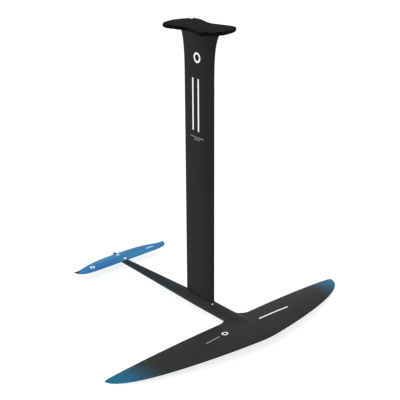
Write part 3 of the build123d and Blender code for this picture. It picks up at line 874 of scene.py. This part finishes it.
def paint(red, green, blue):
    """A colour from its red, green and blue as a paint chart gives them, 0 to 255."""
    levels = [level / 255 for level in (red, green, blue)]
    return [x / 12.92 if x < 0.04 else ((x + 0.055) / 1.055) ** 2.4 for x in levels] + [1.0]


def tuned(color, factor):
    return [min(1.0, level * factor) for level in color[:3]] + [1.0]


MAST_BLACK = paint(30, 30, 29)
FOIL_BLACK = paint(43, 43, 42)
BOOM_BLUE_BLACK = paint(36, 45, 52)
PLATE_BLACK = paint(11, 11, 11)
DEEP_BLUE = paint(32, 98, 150)
LIGHT_BLUE = paint(44, 120, 162)
TEAL = paint(44, 108, 130)
TIP_DEEP_BLUE = paint(28, 86, 112)
TIP_LIGHT_BLUE = paint(36, 110, 146)
MARK_WHITE = paint(236, 238, 240)
MARK_GREY = paint(150, 152, 158)
TOW = 2.0 * MM  # the width of one tow in the cloth
RIB = 3.2 * MM  # the pitch of the boom's fine ribs

# The plain marks: a bar has a middle and a half size, a ring a middle and its two radii
WING_BAR = ((194.5 * MM, 90 * MM), (2.2 * MM, 54 * MM))
WING_RING = ((190 * MM, -82 * MM), 8.5 * MM, 5 * MM)
WING_GREY_BAR = ((192 * MM, -125 * MM), (1.4 * MM, 23 * MM))
STABILISER_BAR = ((-362 * MM, 105 * MM), (1.6 * MM, 13 * MM))
STABILISER_RING = ((-364 * MM, -109 * MM), 7.5 * MM, 4 * MM)
MAST_RING = ((0.0, -80 * MM), 13.5 * MM, 8.5 * MM)
MAST_BARS = (
    ((-19 * MM, -203 * MM), (2.6 * MM, 69 * MM)),
    ((4 * MM, -203 * MM), (2.6 * MM, 69 * MM)),
)
MAST_LONG_LINE = ((-3 * MM, -289 * MM), (27 * MM, 0.8 * MM))
MAST_SHORT_LINE = ((-3 * MM, -295 * MM), (12 * MM, 0.8 * MM))


def twill(across, along):
    """The relief of a twill cloth: tows that pass over two and under two."""
    u = across / TOW
    v = along / TOW
    over = ((u.work("FLOOR", u) + v.work("FLOOR", v)) / 4).fraction() < 0.5
    crown_u = abs((u.fraction() - 0.5) * 2)
    crown_v = abs((v.fraction() - 0.5) * 2)
    return 1 - (over * crown_u + (1 - over) * crown_v)


def bar(first, second, middle, half_size):
    """A mask that is 1 inside a straight bar."""
    inside_first = abs(first - middle[0]) < half_size[0]
    return inside_first * (abs(second - middle[1]) < half_size[1])


def ring(first, second, middle, outer, inner):
    """A mask that is 1 inside a flat ring."""
    a = first - middle[0]
    b = second - middle[1]
    squares = a * a + b * b
    return (squares < outer**2) * (squares > inner**2)


def laminate(name, color, across, roughness, specular):
    """Satin carbon laminate. across names the two axes that its cloth lies along."""
    finish = Finish(name, specular=specular)
    first, second = (getattr(finish, axis) for axis in across)
    cloth = twill(first, second)
    cloud = finish.noise(9.0, 4.0)
    fleck = finish.noise(900.0, 2.0)
    grain = cloth * 0.35 + cloud * 0.4 + fleck * 0.25
    shade = finish.shade(color, 0.16, grain)
    wear = roughness + (cloud - 0.5) * 0.12 + (fleck - 0.5) * 0.1
    return finish, shade, wear, cloth * 0.5 + fleck * 0.5


def foil_finish(name, marks):
    """Satin carbon that runs out to blue at the wing tips and to blue-black along the boom."""
    finish, shade, wear, relief = laminate(name, FOIL_BLACK, "xy", 0.5, 0.04)
    boom = finish.x.rise(-60 * MM, -105 * MM)
    ribs = (finish.x / RIB).wave() * 0.5 + 0.5
    boom_shade = finish.shade(BOOM_BLUE_BLACK, 0.22, ribs * 0.6 + finish.noise(300.0) * 0.4)
    shade = finish.mix(boom, shade, boom_shade)
    streaks = finish.noise(60.0, 4.0, (1, 0.25, 1))
    reach = abs(finish.y) + (streaks - 0.5) * (14 * MM)
    tip = reach.rise(278 * MM, 412 * MM)
    blue = finish.mix(streaks, TIP_DEEP_BLUE, TIP_LIGHT_BLUE)
    shade = finish.mix(tip, shade, blue)
    if marks:
        x, y = finish.x, finish.y
        white = bar(x, y, *WING_BAR).largest(ring(x, y, *WING_RING))
        grey = bar(x, y, *WING_GREY_BAR)
        shade = finish.mix(white, shade, MARK_WHITE)
        shade = finish.mix(grey, shade, MARK_GREY)
    return finish.finish(shade, wear, relief + ribs * boom, 0.04 * MM)


def mast_finish():
    """Satin carbon with plain white marks: a ring, two long bars and two fine lines."""
    finish, shade, wear, relief = laminate("mast_carbon_marked", MAST_BLACK, "xz", 0.5, 0.05)
    x, z = finish.x, finish.z
    white = ring(x, z, *MAST_RING)
    for mark in MAST_BARS:
        white = white.largest(bar(x, z, *mark))
    fine = bar(x, z, *MAST_LONG_LINE).largest(bar(x, z, *MAST_SHORT_LINE))
    shade = finish.mix(white, shade, MARK_WHITE)
    shade = finish.mix(fine, shade, MARK_GREY)
    return finish.finish(shade, wear, relief, 0.04 * MM)


def plate_finish():
    """Moulded laminate with a faint pebble and handling marks."""
    finish, shade, wear, relief = laminate("plate_moulded", PLATE_BLACK, "xy", 0.55, 0.01)
    pebble = finish.noise(1400.0, 2.0)
    return finish.finish(shade, wear, relief * 0.4 + pebble * 0.6, 0.06 * MM)


def blue_finish(name, marks):
    """Satin blue, streaked along the span, that runs to dark grey at the aft corner of the starboard
    tip.
    """
    finish = Finish(name, specular=0.05)
    streaks = finish.noise(45.0, 5.0, (1, 0.16, 1))
    cloud = finish.noise(16.0, 3.0, (1, 0.5, 1))
    shade = finish.mix(streaks.rise(0.3, 0.7), DEEP_BLUE, LIGHT_BLUE)
    shade = finish.mix(cloud.rise(0.5, 0.75) * 0.6, shade, TEAL)
    corner = (finish.y * -1 + finish.x * -0.35).rise(278 * MM, 292 * MM)
    shade = finish.mix(corner, shade, FOIL_BLACK)
    if marks:
        x, y = finish.x, finish.y
        white = bar(x, y, *STABILISER_BAR).largest(ring(x, y, *STABILISER_RING))
        shade = finish.mix(white, shade, MARK_WHITE)
    wear = 0.34 + (cloud - 0.5) * 0.12
    return finish.finish(shade, wear, finish.noise(500.0, 2.0), 0.02 * MM)


def steel_finish(name, level):
    """Stainless steel, turned and then handled."""
    finish = Finish(name, metallic=1.0, specular=0.5)
    grain = finish.noise(1500.0, 3.0)
    smear = finish.noise(120.0, 3.0)
    shade = finish.shade(paint(level, level, level), 0.08, grain * 0.5 + smear * 0.5)
    return finish.finish(shade, 0.22 + smear * 0.14, grain, 0.01 * MM)


def alloy_finish():
    """Anodised aluminium with the marks of its cutter."""
    finish = Finish("socket_alloy", metallic=0.9)
    steps = (finish.z / (0.8 * MM)).wave() * 0.5 + 0.5
    shade = finish.shade(paint(120, 122, 126), 0.1, steps)
    return finish.finish(shade, 0.35 + finish.noise(400.0) * 0.12, steps, 0.015 * MM)


def block_finish():
    """Solid laminate: its plies show as fine lines on a cut face."""
    finish = Finish("solid_laminate", specular=0.3)
    plies = ((finish.z + finish.noise(40.0) * (0.4 * MM)) / (0.5 * MM)).wave() * 0.5 + 0.5
    shade = finish.shade(paint(62, 62, 62), 0.3, plies)
    return finish.finish(shade, 0.5 + plies * 0.1, plies, 0.03 * MM)


def foam_finish():
    """Closed-cell foam with fine open cells on its cut faces."""
    finish = Finish("core_foam", specular=0.2)
    cells = finish.make("Voronoi", {}, {"Vector": finish.place, "Scale": 900.0})
    shade = finish.shade(paint(214, 198, 158), 0.18, cells)
    return finish.finish(shade, 0.85 + cells * 0.1, cells, 0.2 * MM)


# ---- Making the pieces ----

foil_upper = foil_half("foil_upper", 1)
join(foil_upper, tail_lip(), "UNION")
foil_lower = foil_half("foil_lower", -1)
pocket_bottom = FOOT_Z - FIT_GAP - SKIN_GAP
pocket_top = AXIS_Z + 3 * BARREL_RADIUS
for half in (foil_upper, foil_lower):
    cut(half, foot_cutter("foot", FIT_GAP + SKIN_GAP, pocket_bottom, pocket_top))

saddle_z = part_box("stabiliser_lower_skin")[0].z - FIT_GAP + SKIN_GAP
saddle_low = (STABILISER_NOSE - STABILISER_CHORD - 2 * FIT_GAP, -3 * TAIL_RADIUS, saddle_z)
saddle_high = (STABILISER_NOSE + 2 * FIT_GAP, 3 * TAIL_RADIUS, saddle_z + 4 * TAIL_RADIUS)
cut(foil_upper, box_cutter("saddle", saddle_low, saddle_high))
insert_low, insert_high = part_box("tail_inserts")
insert_radius = (insert_high.y - insert_low.y) / 2
for x in TAIL_SCREWS.values():
    for half in (foil_upper, foil_lower):
        hole = round_cutter("insert", x, 0, insert_radius, insert_low.z, pocket_top)
        cut(half, hole)

lock_low, lock_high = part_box("lock_screw")
lock_seat = lock_high.z - LOCK_SEAT_DEPTH
lock_width = (lock_high.x - lock_low.x) / 2 + FIT_GAP
lock_hole = [
    (LOCK_HOLE, AXIS_Z + MM),
    (LOCK_HOLE, lock_seat),
    (lock_width, lock_seat),
    (lock_width, pocket_top),
]
cut(foil_upper, stepped_cutter("lock_hole", *LOCK_SCREW, lock_hole))
for place, x in MAST_SCREWS.items():
    mouth_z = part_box("mast_screw_" + place)[0].z - FIT_GAP / 2
    screw_hole = [
        (MAST_SCREW_SEAT, pocket_bottom - BARREL_RADIUS),
        (MAST_SCREW_SEAT, mouth_z),
        (MAST_SCREW_HOLE, mouth_z + MAST_SCREW_SEAT - MAST_SCREW_HOLE),
        (MAST_SCREW_HOLE, AXIS_Z + MM),
    ]
    cut(foil_lower, stepped_cutter("screw_hole", x, 0, screw_hole))
for half, node, marks in (
    (foil_upper, "foil_upper_shell", True),
    (foil_lower, "foil_lower_shell", False),
):
    smooth(half, 40)
    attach(half, "foil")
    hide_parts(node)
    dress(half, foil_finish("carbon_" + node, marks))

blade = mast_blade()
marked_carbon = mast_finish()
for side, name, node in (
    (1, "mast_port", "mast_skin_port"),
    (-1, "mast_starboard", "mast_skin_starboard"),
):
    skin = mast_skin(blade, name, side)
    smooth(skin, 40)
    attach(skin, "mast")
    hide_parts(node)
    dress(skin, marked_carbon)
bpy.data.objects.remove(blade)

plate = top_plate()
smooth(plate, 35)
apply_modifier(plate, "WEIGHTED_NORMAL", keep_sharp=True)
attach(plate, "mast")
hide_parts("top_plate")
dress(plate, plate_finish())

ferrule_low, ferrule_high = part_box("stabiliser_ferrules")
ferrule_radius = (ferrule_high.y - ferrule_low.y) / 2
for side, name, node in (
    (1, "stabiliser_upper", "stabiliser_upper_skin"),
    (-1, "stabiliser_lower", "stabiliser_lower_skin"),
):
    skin = stabiliser_half(name, side)
    for x in TAIL_SCREWS.values():
        cut(skin, round_cutter("ferrule", x, 0, ferrule_radius, ferrule_low.z - MM, ferrule_high.z + MM))
    smooth(skin, 40)
    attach(skin, "stabiliser")
    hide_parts(node)
    dress(skin, blue_finish("blue_" + name, side > 0))

bright = steel_finish("bright_steel", 246)
screws = [
    socket_screw("mast_screw_front", 3.0 * MM, 1),
    socket_screw("mast_screw_rear", 3.0 * MM, 1),
    socket_screw("stabiliser_screw_front", 2.5 * MM, -1),
    socket_screw("stabiliser_screw_rear", 2.5 * MM, -1),
    socket_screw("lock_screw", 2.0 * MM, -1, LOCK_HEAD_HEIGHT),
]
for screw in screws:
    dress(screw, bright)

# the hidden pieces keep their own shapes
hidden = {
    "foam": foam_finish(),
    "solid_laminate": block_finish(),
    "socket_alloy": alloy_finish(),
    "insert_steel": steel_finish("dull_steel", 190),
}
for subpart in frame["record"]["subparts"]:
    material = hidden.get(subpart["material_slot"])
    if material is not None:
        dress(frame["nodes"][subpart["node"]], material)

# ---- Floor, light and camera ----

WHITE = (1.0, 1.0, 1.0, 1.0)
FLOOR_GLOW = 0.78  # keeps the floor pale, and the shadows on it light
SKY_STRENGTH = 0.85
CAMERA_PLACE = (1.690, -1.461, 0.4476)
CAMERA_LENS = 82.125
SENSOR_WIDTH = 36
AZIMUTH = radians(49.15)
PITCH = radians(22.18)
ROLL = radians(-0.32)

deselect()
bpy.ops.mesh.primitive_plane_add(size=40, location=(0, 0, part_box("foil_lower_shell")[0].z))
floor = named("floor")
apply_place(floor)
pale = Finish("pale_floor", roughness=0.9, specular=0.0)
pale.shader.inputs["Emission Color"].default_value = WHITE
pale.shader.inputs["Emission Strength"].default_value = FLOOR_GLOW
dress(floor, pale.finish(pale.shade(paint(150, 150, 150), 0.02, pale.noise(3.0))))

world = bpy.data.worlds.new("studio")
bpy.context.scene.world = world
world.use_nodes = True
sky = world.node_tree.nodes["Background"]
sky.inputs["Color"].default_value = WHITE
sky.inputs["Strength"].default_value = SKY_STRENGTH


def softbox(name, place, aim, size, power):
    """A large soft lamp aimed at a point."""
    lamp = bpy.data.lights.new(name, "AREA")
    lamp.shape = "DISK"
    lamp.size = size
    lamp.energy = power
    stand = bpy.data.objects.new(name, lamp)
    bpy.context.scene.collection.objects.link(stand)
    stand.location = place
    stand.rotation_euler = (Vector(aim) - Vector(place)).to_track_quat("-Z", "Y").to_euler()


softbox("key", (1.6, -2.6, 2.4), (0, 0, -0.5), 2.4, 60)
softbox("top", (-1.0, 0.8, 3.0), (0, 0, -0.6), 2.6, 40)

right = Vector((cos(AZIMUTH), sin(AZIMUTH), 0))
ahead = Vector((-sin(AZIMUTH), cos(AZIMUTH), 0))
up = Vector((0, 0, 1))
view = ahead * cos(PITCH) - up * sin(PITCH)
top = ahead * sin(PITCH) + up * cos(PITCH)
level = right * cos(ROLL) + top * sin(ROLL)
upright = top * cos(ROLL) - right * sin(ROLL)
lens = bpy.data.cameras.new("camera")
lens.lens = CAMERA_LENS
lens.sensor_width = SENSOR_WIDTH
camera = bpy.data.objects.new("camera", lens)
bpy.context.scene.collection.objects.link(camera)
turn = Matrix((level, upright, -view)).transposed().to_4x4()
camera.matrix_world = Matrix.Translation(CAMERA_PLACE) @ turn
bpy.context.scene.camera = camera
bpy.context.scene.view_settings.view_transform = "Standard"
